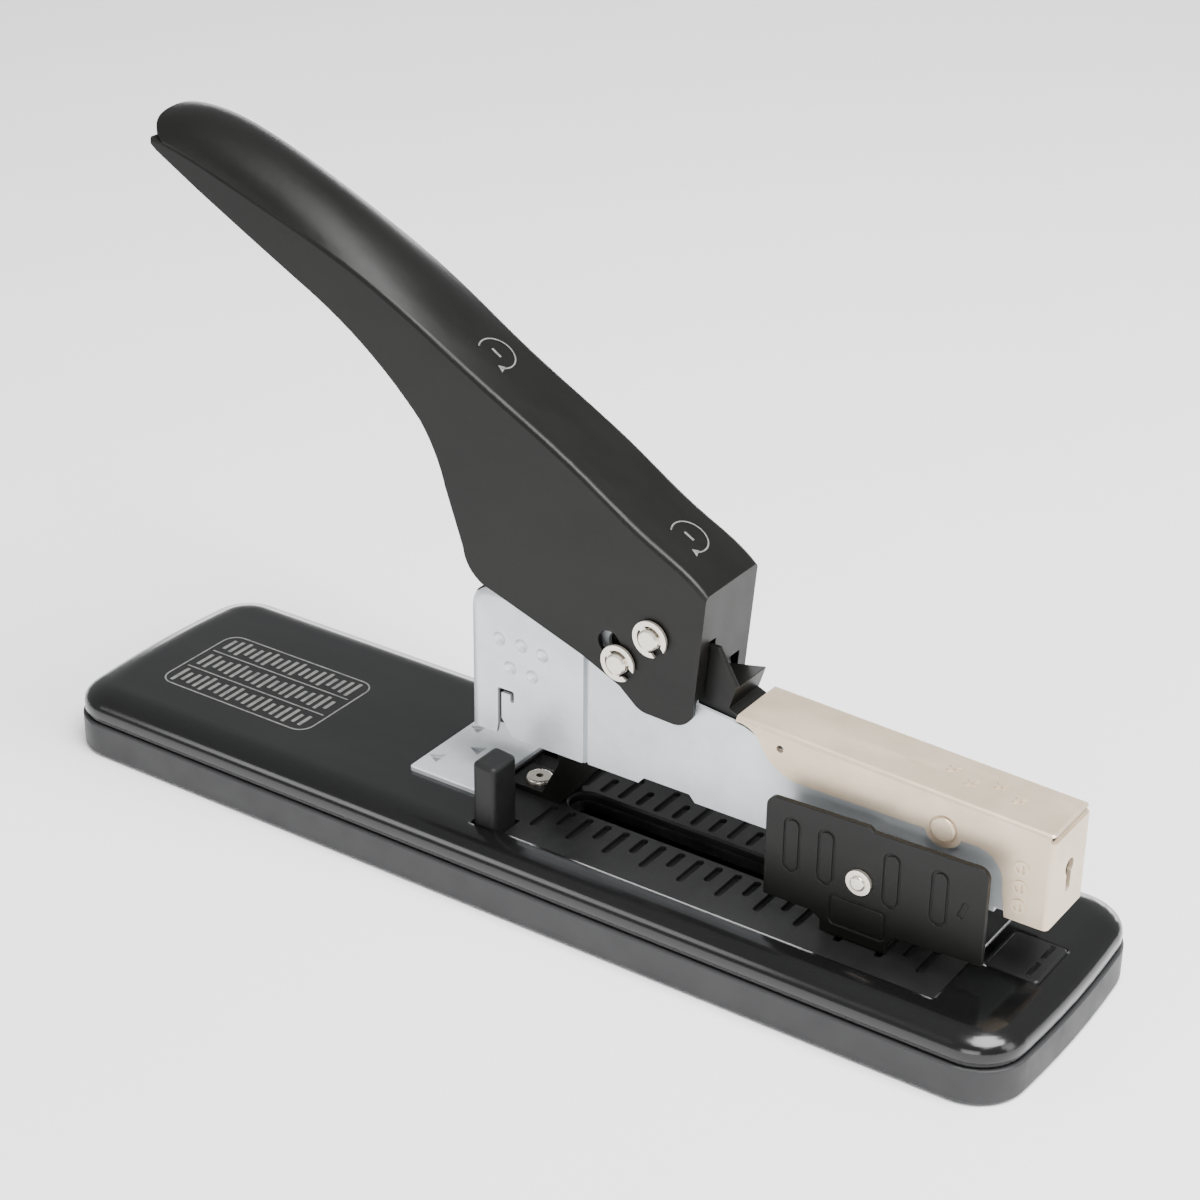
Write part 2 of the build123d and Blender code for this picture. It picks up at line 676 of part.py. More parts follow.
with BuildPart() as drive_arm:
    with BuildSketch(Plane.XZ.offset(-arm_outer)):
        with BuildLine():
            Polyline(
                (hinge_x + 4.0, hinge_z - 4.5), (20, 42.6), (26, 45.0), (46, 47.6), (112, tongue_low),
                (beam_front, tongue_low), (beam_front, 51.7), (49.6, 54.3), (46.6, 55.6), (48.4, 61.3),
                (43.6, ear_top), (40.2, ear_top), (36, 65.6), (24, 65.2), (16, 64),
                (hinge_x - 5.2, hinge_z + 3), close=True,
            )
        make_face()
        with Locations((hinge_x, hinge_z)):
            Circle(6)
        with Locations((drive_x, drive_z)):
            Circle(5)
    extrude(amount=2 * arm_outer)
    with BuildSketch(Plane.XZ.offset(-arm_inner)):
        with BuildLine():
            Polyline(
                (-2, 30), (beam_front + 1, 30), (beam_front + 1, 50.4), (49, 52.9), (45, 54.4), (38, 56.5),
                (38, 75), (-2, 75), close=True,
            )
        make_face()
    extrude(amount=2 * arm_inner, mode=Mode.SUBTRACT)
    with BuildSketch(Plane.XZ.offset(-arm_outer)):
        with BuildLine():
            Polyline((38, 72), (38, far_ear_top - 1.6), (52, far_ear_top + 1.4), (52, 72), close=True)
        make_face()
    extrude(amount=arm_inner + arm_outer, mode=Mode.SUBTRACT)
    with BuildSketch(Plane.YZ.offset(beam_front - 2)):
        with Locations((0, (tongue_low + tongue_high) / 2)):
            Rectangle(4.4, tongue_high - tongue_low)
    extrude(amount=blade_front - beam_front + 2)
    with BuildSketch(Plane.XZ.offset(-arm_outer)):
        with Locations((hinge_x, hinge_z)):
            Circle(pin_radius + running_gap)
        with Locations(drive_rest):
            Circle(pin_radius)
    extrude(amount=2 * arm_outer, mode=Mode.SUBTRACT)
finish(drive_arm.part, "drive_arm")


def cross_pin(x, z):
    """Headless pin across the handle with a clip groove near each end."""
    with BuildPart() as pin:
        with BuildSketch(Plane.XZ.offset(-pin_half_length)):
            with Locations((x, z)):
                Circle(pin_radius)
        extrude(amount=2 * pin_half_length)
        chamfer(pin.edges(), 0.4)
        for side in (-1, 1):
            with BuildSketch(Plane.XZ.offset(side * (clip_inner + clip_outer) / 2)):
                with Locations((x, z)):
                    Circle(pin_radius)
                    Circle(groove_radius, mode=Mode.SUBTRACT)
            extrude(amount=(clip_outer - clip_inner) / 2, both=True, mode=Mode.SUBTRACT)
    return pin.part


def clip_pair(x, z, turn):
    """Two E-clips snapped into the grooves of a cross pin."""
    with BuildPart() as clips:
        for side in (-1, 1):
            with BuildSketch(Plane.XZ.offset(side * (clip_inner + clip_outer) / 2)):
                with Locations(Location((x, z), turn)):
                    Circle(clip_radius)
                    Circle(clip_radius - 1.15, mode=Mode.SUBTRACT)
                    with PolarLocations(2.6, 3, start_angle=90, angular_range=360):
                        Rectangle(1.6, 1.7)
                    Circle(groove_radius, mode=Mode.SUBTRACT)
                    with Locations((0, -3.4)):
                        Rectangle(3.0, 4.2, mode=Mode.SUBTRACT)
            extrude(amount=(clip_outer - clip_inner) / 2, both=True)
    return clips.part


handle_pin = cross_pin(pivot_x, pivot_z)
finish(handle_pin, "handle_pin")
handle_pin_clips = clip_pair(pivot_x, pivot_z, 40)
finish(handle_pin_clips, "handle_pin_clips")
drive_pin = cross_pin(drive_x, drive_z)
finish(drive_pin, "drive_pin")
drive_pin_clips = clip_pair(drive_x, drive_z, 55)
finish(drive_pin_clips, "drive_pin_clips")

with BuildPart() as pivot_washers:
    for side in (-1, 1):
        with BuildSketch(Plane.XZ.offset(side * wall_outer)):
            with Locations((pivot_x, pivot_z)):
                Circle(5)
                Circle(pin_radius, mode=Mode.SUBTRACT)
        extrude(amount=1.4 * side)
finish(pivot_washers.part, "pivot_washers")

with BuildPart() as driver_blade:
    with BuildSketch(Plane.YZ.offset(blade_rear)):
        with Locations((0, (40.2 + 51.8) / 2)):
            Rectangle(12.2, 51.8 - 40.2)
        with Locations((0, (tongue_low + tongue_high) / 2)):
            Rectangle(5.2, tongue_high - tongue_low + 2 * window_gap, mode=Mode.SUBTRACT)
    extrude(amount=blade_front - blade_rear)
finish(driver_blade.part, "driver_blade")

# ---------------------------------------------------------------- handle
# Stations along the handle: x, crown height, width, rise of the crown above the side folds.
handle_stations = [
    (44.0, 81.9, 21.0, 0.2),
    (28.0, 92.2, 21.0, 0.2),
    (10.0, 103.4, 21.0, 0.2),
    (-6.0, 112.6, 21.0, 0.4),
    (-20.0, 120.8, 21.4, 1.0),
    (-34.0, 130.0, 22.2, 2.0),
    (-48.0, 138.9, 23.0, 3.6),
    (-62.0, 146.8, 23.8, 5.6),
    (-78.0, 154.0, 24.4, 7.0),
    (-92.0, 158.9, 24.6, 6.9),
    (-103.0, 160.8, 24.6, 5.6),
    (-114.5, 159.4, 24.4, 3.4),
]
handle_depth = 90.0
fold_radius = 1.3
slope_factor = 1.18


def handle_form(sheet):
    """Deep crowned form of the handle, shrunk by the sheet thickness for its inside."""
    front = handle_front - sheet
    low_front = front - handle_front_slope * 50
    with BuildPart() as form:
        for x, top, width, rise in handle_stations:
            roof = top - slope_factor * sheet
            half = width / 2 - sheet
            with BuildSketch(Plane.YZ.offset(x)) as section:
                with BuildLine():
                    ThreePointArc((-half, roof - rise), (0, roof), (half, roof - rise))
                    Polyline((half, roof - rise), (half, roof - handle_depth), (-half, roof - handle_depth),
                             (-half, roof - rise))
                make_face()
                fillet(section.vertices().group_by(Axis.Y)[-1], fold_radius - sheet / 2)
        loft()
        with BuildSketch(Plane.XZ.offset(-20)):
            with BuildLine():
                Polyline((front + 0.4, 87.7), (low_front, 37.7), (50, 37.7), (50, 87.7), close=True)
            make_face()
        extrude(amount=40, mode=Mode.SUBTRACT)
    return form.part


panel_low, panel_notch_top, panel_notch_half = 57.0, 62.6, 6.9
ear_slot_y, ear_slot_width, ear_slot_top = -5.6, 2.6, 70.8
slot_reach = (-2.9, 3.9)
slot_radius = pin_radius + 0.35
drive_slot_end = (drive_x + slot_reach[0], drive_z + slot_reach[1])
tail_corner = 8.0
tail_depth = 2 * tail_corner

with BuildPart() as tail_trim:
    with BuildSketch(Plane.XZ.offset(-20)):
        with BuildLine():
            Polyline((-122, 140), (flange_tail, 140), (flange_tail, 156.2), (-101.0, 154.3), (-95.0, 154.3),
                     (-95.0, 170), (-122, 170), close=True)
        make_face()
    extrude(amount=40)
    with BuildSketch(Plane.XY.offset(140)):
        with Locations((handle_tail + tail_depth, 0)):
            RectangleRounded(2 * tail_depth, 24.7, tail_corner)
    extrude(amount=40, mode=Mode.SUBTRACT)

with BuildPart() as handle_shell:
    add(handle_form(0))
    add(handle_form(handle_sheet), mode=Mode.SUBTRACT)
    with BuildSketch(Plane.XZ.offset(-20)):
        with BuildLine():
            Polyline(
                (flange_tail, 175), (flange_tail, 154.6), (-105.6, 153.4), (-93.9, 146.6),
                (-79.6, 138.7), (-64.5, 130.4),
            )
            ThreePointArc((-64.5, 130.4), (-44.6, 117.0), (-32.5, 105.1))
            ThreePointArc((-32.5, 105.1), (-28.6, 98.2), (-26.0, 90.6))
            Polyline((-26.0, 90.6), (-21.4, 77.0))
            ThreePointArc((-21.4, 77.0), (-19.9, 72.6), (-16.2, 69.1))
            Polyline((-16.2, 69.1), (11.2, 59.5), (21.0, 55.0), (25.0, 51.6))
            ThreePointArc((25.0, 51.6), (26.7, 50.6), (28.9, 50.3))
            Line((28.9, 50.3), (35.0, 50.0))
            ThreePointArc((35.0, 50.0), (38.9, 51.6), (40.5, 56.0))
            Polyline((40.5, 56.0), (43.4, 66.0), (43.4, 175), (flange_tail, 175))
        make_face()
        with BuildLine():
            Polyline((-122, 157.0), (-122, 175), (-100, 175), (-100, 155.2), close=True)
        make_face()
    extrude(amount=40, mode=Mode.INTERSECT)
    add(tail_trim.part, mode=Mode.SUBTRACT)
    with BuildSketch(Plane.YZ.offset(handle_front - 6)):
        with Locations((0, panel_notch_top - 20)):
            Rectangle(2 * panel_notch_half, 40)
        with Locations((ear_slot_y, ear_slot_top - 20)):
            Rectangle(ear_slot_width, 40)
        with Locations((0, panel_low - 20)):
            Rectangle(21 - 2 * handle_sheet, 40)
    extrude(amount=10, mode=Mode.SUBTRACT)
    with BuildSketch(Plane.XZ.offset(-20)):
        with Locations((pivot_x, pivot_z)):
            Circle(pin_radius + running_gap)
        with Locations(drive_rest, drive_slot_end):
            Circle(slot_radius)
        with BuildLine():
            Line(drive_rest, drive_slot_end)
        trace(line_width=2 * slot_radius)
    extrude(amount=40, mode=Mode.SUBTRACT)
finish(handle_shell.part, "handle_shell")

handle_spring = coil((18.5, 0, 76.6), (0, 0, 1), 16.4, 3.2, 0.45, 2.6)
finish(handle_spring, "handle_spring")

# ---------------------------------------------------------------- paper guide
bridge_rear, bridge_front = 76.0, 92.0
bridge_bottom, bridge_top = 14.5, 15.9
guide_step_x, guide_step = 87.5, 0.9
guide_pin_x, guide_pin_z = 85.0, 30.2
emboss_depth = 0.35

with BuildPart() as paper_guide:
    for side in (-1, 1):
        with BuildSketch(Plane.XZ.offset(side * guide_inner)) as cheek:
            with BuildLine():
                Polyline(
                    (guide_rear, guide_bottom), (guide_rear, guide_top),
                    (guide_step_x - 1.2, guide_top + 0.7),
                    (guide_step_x, guide_top + 0.7 - guide_step), (guide_front, guide_top + 0.3),
                    (guide_front, guide_bottom_front), (bridge_front + 2, guide_bottom_front - 1.0),
                    (bridge_front, guide_bottom - 1.6), (bridge_rear, guide_bottom - 1.6),
                    (bridge_rear - 2, guide_bottom), close=True,
                )
            make_face()
            fillet(cheek.vertices().group_by(Axis.X)[0].sort_by(Axis.Y)[-1], 2.5)
            fillet(cheek.vertices().group_by(Axis.X)[-1].sort_by(Axis.Y)[-1], 2.5)
        extrude(amount=side * (guide_outer - guide_inner))
    with BuildSketch(Plane.XY.offset(bridge_bottom)):
        with Locations(((bridge_rear + bridge_front) / 2, 0)):
            Rectangle(bridge_front - bridge_rear, 2 * guide_outer)
    extrude(amount=bridge_top - bridge_bottom)
    for side in (-1, 1):
        with BuildSketch(Plane.XY.offset(bridge_bottom)):
            with Locations(((bridge_rear + bridge_front) / 2, side * (guide_inner + guide_outer) / 2)):
                Rectangle(bridge_front - bridge_rear, guide_outer - guide_inner)
        extrude(amount=guide_bottom - 1 - bridge_bottom)
        with BuildSketch(Plane.XZ.offset(side * guide_outer)):
            with Locations([(x, 33.0) for x in (68.2, 76.6, 92.4, 103.6)]):
                SlotOverall(13.6, 4.2, rotation=90)
                SlotOverall(12.4, 3.0, rotation=90, mode=Mode.SUBTRACT)
            with Locations((bridge_rear + 8.8, 21.0)):
                RectangleRounded(13.8, 7.6, 1.4)
                RectangleRounded(12.6, 6.4, 0.9, mode=Mode.SUBTRACT)
            with Locations((109.2, 32.2)):
                SlotOverall(4.4, 1.4, rotation=70)
        extrude(amount=-side * emboss_depth, mode=Mode.SUBTRACT)
        with BuildSketch(Plane.XZ.offset(side * guide_inner)):
            with Locations((guide_pin_x, guide_pin_z)):
                Circle(1.5)
        extrude(amount=side * 3, mode=Mode.SUBTRACT)
    with BuildSketch(Plane.XY.offset(bridge_bottom)):
        with Locations((bridge_rear + 8, 0)):
            Circle(1.5)
    extrude(amount=4, mode=Mode.SUBTRACT)
finish(paper_guide.part, "paper_guide")

with BuildPart() as guide_pins:
    for side in (-1, 1):
        with BuildSketch(Plane.XZ.offset(side * guide_inner)):
            with Locations((guide_pin_x, guide_pin_z)):
                Circle(1.5)
        extrude(amount=side * (guide_outer - guide_inner))
        for radius, height in ((2.95, 0.8), (1.8, 1.5)):
            with BuildSketch(Plane.XZ.offset(side * guide_outer)):
                with Locations((guide_pin_x, guide_pin_z)):
                    Circle(radius)
            extrude(amount=side * height)
    fillet(guide_pins.edges().group_by(Axis.Y)[0] + guide_pins.edges().group_by(Axis.Y)[-1], 0.6)
finish(guide_pins.part, "guide_pins")

shoe_gap = 0.3

with BuildPart() as guide_shoe:
    with BuildSketch(Plane.XY.offset(plate_bottom - 2.2)):
        with Locations((bridge_rear + 8, 0)):
            RectangleRounded(14, 15, 1)
    extrude(amount=2.2 - shoe_gap)
    with BuildSketch(Plane.XY.offset(plate_bottom - shoe_gap)):
        with Locations((bridge_rear + 8, 0)):
            RectangleRounded(12, 2 * channel_half_width - 2 * shoe_gap, 1)
    extrude(amount=bridge_bottom - plate_bottom + shoe_gap)
    with BuildSketch(Plane.XY.offset(bridge_bottom)):
        with Locations((bridge_rear + 8, 0)):
            Circle(1.5)
    extrude(amount=bridge_top - bridge_bottom)
finish(guide_shoe.part, "guide_shoe")
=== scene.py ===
"""Looks of the heavy-duty desktop stapler: materials, printed details, springs, light and camera."""

import json
import math

import bmesh
import bpy
from mathutils import Matrix, Vector


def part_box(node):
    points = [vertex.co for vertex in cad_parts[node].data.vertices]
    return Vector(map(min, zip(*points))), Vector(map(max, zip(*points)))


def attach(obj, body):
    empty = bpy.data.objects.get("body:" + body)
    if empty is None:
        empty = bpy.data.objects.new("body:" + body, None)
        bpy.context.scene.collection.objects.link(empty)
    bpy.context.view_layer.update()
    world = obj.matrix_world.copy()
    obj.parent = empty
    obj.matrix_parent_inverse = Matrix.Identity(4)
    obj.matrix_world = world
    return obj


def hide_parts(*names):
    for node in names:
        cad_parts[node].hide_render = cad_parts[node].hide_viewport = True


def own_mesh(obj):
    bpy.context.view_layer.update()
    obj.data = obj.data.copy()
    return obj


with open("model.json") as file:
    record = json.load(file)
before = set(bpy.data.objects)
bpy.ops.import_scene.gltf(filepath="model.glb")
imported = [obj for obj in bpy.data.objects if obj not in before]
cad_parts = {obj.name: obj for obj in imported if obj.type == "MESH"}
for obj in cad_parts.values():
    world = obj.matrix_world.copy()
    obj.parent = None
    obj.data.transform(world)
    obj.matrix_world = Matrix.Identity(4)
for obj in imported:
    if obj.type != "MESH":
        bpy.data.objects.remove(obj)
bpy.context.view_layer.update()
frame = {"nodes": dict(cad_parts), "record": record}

MM = 0.001


# ---------------------------------------------------------------- node helpers
class Nodes:
    """A material's node tree, with short calls for the nodes this scene uses."""

    def __init__(self, name):
        self.material = bpy.data.materials.new(name)
        self.material.use_nodes = True
        self.tree = self.material.node_tree
        self.shader = self.tree.nodes["Principled BSDF"]
        self.place = self.add("ShaderNodeTexCoord").outputs["Object"]

    def add(self, kind, **settings):
        node = self.tree.nodes.new(kind)
        for name, value in settings.items():
            setattr(node, name, value)
        return node

    def link(self, source, target):
        self.tree.links.new(source, target)

    def stretched(self, scale):
        mapping = self.add("ShaderNodeMapping")
        mapping.inputs["Scale"].default_value = scale
        self.link(self.place, mapping.inputs["Vector"])
        return mapping.outputs["Vector"]

    def noise(self, scale, detail=3.0, roughness=0.5, vector=None):
        node = self.add("ShaderNodeTexNoise")
        node.inputs["Scale"].default_value = scale
        node.inputs["Detail"].default_value = detail
        node.inputs["Roughness"].default_value = roughness
        self.link(vector or self.place, node.inputs["Vector"])
        return node.outputs["Fac"]

    def cells(self, scale, vector=None, feature="F1", output="Distance"):
        node = self.add("ShaderNodeTexVoronoi", feature=feature)
        node.inputs["Scale"].default_value = scale
        self.link(vector or self.place, node.inputs["Vector"])
        return node.outputs[output]

    def ramp(self, source, stops):
        node = self.add("ShaderNodeValToRGB")
        elements = node.color_ramp.elements
        while len(elements) < len(stops):
            elements.new(0.5)
        for element, (position, colour) in zip(elements, stops):
            element.position = position
            element.color = (*colour, 1.0) if len(colour) == 3 else colour
        self.link(source, node.inputs["Fac"])
        return node.outputs["Color"]

    def span(self, source, low, high, start=0.0, end=1.0):
        node = self.add("ShaderNodeMapRange")
        node.inputs["From Min"].default_value = start
        node.inputs["From Max"].default_value = end
        node.inputs["To Min"].default_value = low
        node.inputs["To Max"].default_value = high
        self.link(source, node.inputs["Value"])
        return node.outputs["Result"]

    def math(self, operation, first, second=None):
        node = self.add("ShaderNodeMath", operation=operation)
        for index, value in enumerate((first, second)):
            if value is None:
                continue
            if isinstance(value, (int, float)):
                node.inputs[index].default_value = value
            else:
                self.link(value, node.inputs[index])
        return node.outputs[0]

    def mix(self, factor, first, second, blend="MIX"):
        node = self.add("ShaderNodeMix", data_type="RGBA", blend_type=blend)
        for index, value in ((0, factor), (6, first), (7, second)):
            if isinstance(value, (int, float)):
                node.inputs[index].default_value = value
            elif isinstance(value, tuple):
                node.inputs[index].default_value = (*value, 1.0)
            else:
                self.link(value, node.inputs[index])
        return node.outputs[2]

    def worn_edges(self, radius, low=0.02, high=0.16):
        """1 along sharp outer edges, 0 elsewhere, from the difference of a bevelled and a true normal."""
        bevel = self.add("ShaderNodeBevel", samples=6)
        bevel.inputs["Radius"].default_value = radius
        geometry = self.add("ShaderNodeNewGeometry")
        dot = self.add("ShaderNodeVectorMath", operation="DOT_PRODUCT")
        self.link(bevel.outputs["Normal"], dot.inputs[0])
        self.link(geometry.outputs["Normal"], dot.inputs[1])
        sharp = self.math("SUBTRACT", 1.0, dot.outputs["Value"])
        return self.span(sharp, 0.0, 1.0, low, high)

    def bump(self, *layers, soft=0.0):
        """Chain of bumps, each a height, its depth in metres and its strength, over a softened normal."""
        normal = None
        if soft:
            bevel = self.add("ShaderNodeBevel", samples=8)
            bevel.inputs["Radius"].default_value = soft
            normal = bevel.outputs["Normal"]
        for height, depth, strength in layers:
            node = self.add("ShaderNodeBump")
            node.inputs["Distance"].default_value = depth
            node.inputs["Strength"].default_value = strength
            self.link(height, node.inputs["Height"])
            if normal:
                self.link(normal, node.inputs["Normal"])
            normal = node.outputs["Normal"]
        self.link(normal, self.shader.inputs["Normal"])

    def set(self, **values):
        names = {"colour": "Base Color", "metal": "Metallic", "rough": "Roughness", "coat": "Coat Weight",
                 "coat_rough": "Coat Roughness", "ior": "IOR", "specular": "Specular IOR Level",
                 "anisotropy": "Anisotropic"}
        for key, value in values.items():
            socket = self.shader.inputs[names[key]]
            if isinstance(value, (int, float)):
                socket.default_value = value
            elif isinstance(value, tuple):
                socket.default_value = (*value, 1.0)
            else:
                self.link(value, socket)


# ---------------------------------------------------------------- materials
def enamel(name, deep, bright, rough, coat, peel, specular, dust_share=0.05, soft=0.0):
    """Stoved enamel on steel: orange peel, faint dust, slightly rubbed edges and flowed-out corners."""
    nodes = Nodes(name)
    cloud = nodes.noise(28, 4)
    dust = nodes.ramp(nodes.noise(2600, 2), [(0.66, (0, 0, 0)), (0.74, (1, 1, 1))])
    edge = nodes.worn_edges(0.5 * MM)
    base = nodes.mix(cloud, deep, bright)
    rubbed = nodes.mix(nodes.math("MULTIPLY", edge, 0.25), base, tuple(6 * c for c in bright))
    nodes.set(colour=nodes.mix(nodes.math("MULTIPLY", dust, dust_share), rubbed, (0.16, 0.16, 0.16)))
    smear = nodes.noise(55, 5, 0.65, nodes.stretched((0.4, 1.6, 1.0)))
    nodes.set(rough=nodes.span(smear, rough[0], rough[1], 0.3, 0.7))
    nodes.set(coat=coat, coat_rough=0.08, specular=specular)
    nodes.bump((nodes.noise(420, 2), 0.02 * MM, peel), (nodes.noise(2400, 2), 0.004 * MM, 0.4), soft=soft)
    return nodes.material


def moulded(name, deep, bright, rough, grain, specular):
    """Moulded plastic with a fine spark-eroded grain."""
    nodes = Nodes(name)
    cloud = nodes.noise(40, 4)
    edge = nodes.worn_edges(0.4 * MM)
    base = nodes.mix(cloud, deep, bright)
    nodes.set(colour=nodes.mix(nodes.math("MULTIPLY", edge, 0.3), base, tuple(2.2 * c for c in bright)))
    nodes.set(rough=nodes.span(nodes.noise(120, 4), rough[0], rough[1], 0.3, 0.7), specular=specular)
    nodes.bump((nodes.cells(2600), 0.02 * MM, grain), (nodes.noise(900, 3), 0.02 * MM, 0.25))
    return nodes.material


def plated(name, deep, bright, rough, grain_scale, grain, stain, metal):
    """Plated sheet steel: rolling grain, faint clouding and brighter rubbed edges."""
    nodes = Nodes(name)
    lines = nodes.noise(900, 4, 0.6, nodes.stretched(grain_scale))
    cloud = nodes.noise(70, 5, 0.6)
    spots = nodes.ramp(nodes.noise(520, 3), [(0.62, (0, 0, 0)), (0.72, (1, 1, 1))])
    base = nodes.mix(nodes.span(cloud, 0, 1, 0.3, 0.7), deep, bright)
    lined = nodes.mix(nodes.math("MULTIPLY", lines, 0.18), base, tuple(0.72 * c for c in deep))
    spotted = nodes.mix(nodes.math("MULTIPLY", spots, stain * 0.3), lined, tuple(0.7 * c for c in deep))
    edge = nodes.worn_edges(0.3 * MM)
    rubbed = tuple(min(1.0, 1.2 * c) for c in bright)
    nodes.set(colour=nodes.mix(nodes.math("MULTIPLY", edge, 0.5), spotted, rubbed))
    rough_noise = nodes.noise(160, 5, 0.6, nodes.stretched((0.5, 1, 1)))
    nodes.set(rough=nodes.span(rough_noise, rough[0], rough[1], 0.3, 0.7), metal=metal, anisotropy=0.3)
    nodes.bump((lines, 0.006 * MM, grain), (cloud, 0.05 * MM, 0.12))
    return nodes.material


def staple_wires(name, pitch):
    """Glued strip of galvanised wires: fine joints across the strip."""
    nodes = Nodes(name)
    split = nodes.add("ShaderNodeSeparateXYZ")
    nodes.link(nodes.place, split.inputs[0])
    phase = nodes.math("MULTIPLY", split.outputs["X"], 2 * math.pi / pitch)
    wave = nodes.math("ABSOLUTE", nodes.math("SINE", phase))
    joint = nodes.span(wave, 1.0, 0.0, 0.0, 0.35)
    tone = nodes.mix(nodes.noise(300, 4), (0.55, 0.56, 0.58), (0.72, 0.73, 0.75))
    nodes.set(colour=nodes.mix(joint, tone, (0.10, 0.10, 0.10)), metal=1.0)
    nodes.set(rough=nodes.span(nodes.noise(800, 3), 0.25, 0.42))
    nodes.bump((wave, 0.08 * MM, 0.8), (nodes.noise(1800, 2), 0.01 * MM, 0.3))
    return nodes.material


def printed_ink(name):
    """Pale screen-print ink with a little wear."""
    nodes = Nodes(name)
    worn = nodes.noise(700, 4)
    nodes.set(colour=nodes.ramp(worn, [(0.3, (0.10, 0.10, 0.10)), (0.6, (0.17, 0.17, 0.16))]))
    nodes.set(rough=nodes.span(nodes.noise(300, 3), 0.4, 0.6))
    nodes.bump((worn, 0.01 * MM, 0.4))
    return nodes.material


def floor_paper(name):
    """Pale seamless paper sweep."""
    nodes = Nodes(name)
    nodes.set(colour=nodes.ramp(nodes.noise(9, 4), [(0.3, (0.93, 0.93, 0.93)), (0.7, (0.95, 0.95, 0.95))]))
    nodes.set(rough=nodes.span(nodes.noise(60, 3), 0.75, 0.9))
    nodes.bump((nodes.noise(900, 3), 0.02 * MM, 0.2))
    return nodes.material


slot_materials = {
    "skirt": moulded(
        "skirt", (0.018, 0.018, 0.019), (0.030, 0.030, 0.031), (0.45, 0.60), 0.45, 0.32),
    "rubber": moulded(
        "rubber", (0.010, 0.010, 0.010), (0.020, 0.020, 0.020), (0.7, 0.9), 0.9, 0.3),
    "black_gloss": enamel(
        "black_gloss", (0.002, 0.002, 0.002), (0.004, 0.004, 0.004), (0.14, 0.24), 0.25, 0.10, 0.36,
        soft=1.2 * MM),
    "black_semi": enamel(
        "black_semi", (0.002, 0.002, 0.002), (0.005, 0.005, 0.004), (0.34, 0.46), 0.0, 0.30, 0.24,
        dust_share=0.03, soft=0.3 * MM),
    "black_plastic": moulded(
        "black_plastic", (0.004, 0.004, 0.004), (0.009, 0.009, 0.009), (0.40, 0.56), 0.5, 0.26),
    "black_steel": enamel(
        "black_steel", (0.004, 0.004, 0.004), (0.009, 0.009, 0.009), (0.28, 0.40), 0.0, 0.3, 0.32),
    "zinc": plated(
        "zinc", (0.55, 0.58, 0.60), (0.71, 0.74, 0.76), (0.34, 0.48), (0.25, 1.0, 1.6), 0.25, 0.4, 0.50),
    "nickel": plated(
        "nickel", (0.60, 0.48, 0.35), (0.72, 0.60, 0.46), (0.34, 0.48), (0.12, 1.0, 2.4), 0.35, 0.25, 0.55),
    "pin": plated(
        "pin", (0.66, 0.60, 0.52), (0.82, 0.77, 0.68), (0.22, 0.36), (1.0, 0.3, 1.0), 0.2, 0.25, 0.85),
    "steel": plated(
        "steel", (0.40, 0.40, 0.41), (0.55, 0.55, 0.56), (0.28, 0.45), (0.3, 1.0, 1.0), 0.4, 0.25, 1.0),
    "spring": plated(
        "spring", (0.32, 0.32, 0.33), (0.46, 0.46, 0.47), (0.28, 0.42), (1.0, 1.0, 1.0), 0.2, 0.25, 1.0),
    "staple": staple_wires("staple", 2 * 0.62 * MM),
}


def dress_cad_nodes():
    """Give every CAD node its slot's material."""
    for subpart in frame["record"]["subparts"]:
        mesh = frame["nodes"][subpart["node"]].data
        mesh.materials.clear()
        mesh.materials.append(slot_materials[subpart["material_slot"]])


dress_cad_nodes()


# ---------------------------------------------------------------- mesh helpers
def piece(name, build, material, body):
    """Make a mesh piece with a bmesh builder and hang it on a CAD body."""
    mesh = bpy.data.meshes.new(name)
    shape = bmesh.new()
    build(shape)
    bmesh.ops.recalc_face_normals(shape, faces=shape.faces)
    shape.to_mesh(mesh)
    shape.free()
    mesh.materials.append(material)
    item = bpy.data.objects.new(name, mesh)
    bpy.context.scene.collection.objects.link(item)
    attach(item, body)
    return item


def slab(shape, outline, low, high):
    """Closed prism over a flat outline, from one height to another."""
    bottom = [shape.verts.new((x, y, low)) for x, y in outline]
    top = [shape.verts.new((x, y, high)) for x, y in outline]
    shape.faces.new(list(reversed(bottom)))
    shape.faces.new(top)
    count = len(outline)
    for index in range(count):
        after = (index + 1) % count
        shape.faces.new((bottom[index], bottom[after], top[after], top[index]))


def rounded(x0, x1, y0, y1, radius, steps=6):
    """Outline of a rectangle with rounded corners."""
    points = []
    corners = ((x1 - radius, y1 - radius, 0), (x0 + radius, y1 - radius, 90),
               (x0 + radius, y0 + radius, 180), (x1 - radius, y0 + radius, 270))
    for cx, cy, start in corners:
        for step in range(steps + 1):
            turn = math.radians(start + 90 * step / steps)
            points.append((cx + radius * math.cos(turn), cy + radius * math.sin(turn)))
    return points


def ring_slab(shape, outer, inner, low, high):
    """Closed frame between two outlines with the same number of points."""
    count = len(outer)
    loops = [[shape.verts.new((x, y, z)) for x, y in outline]
             for outline, z in ((outer, low), (outer, high), (inner, high), (inner, low))]
    for first, second in zip(loops, loops[1:] + loops[:1]):
        for index in range(count):
            after = (index + 1) % count
            shape.faces.new((first[index], first[after], second[after], second[index]))


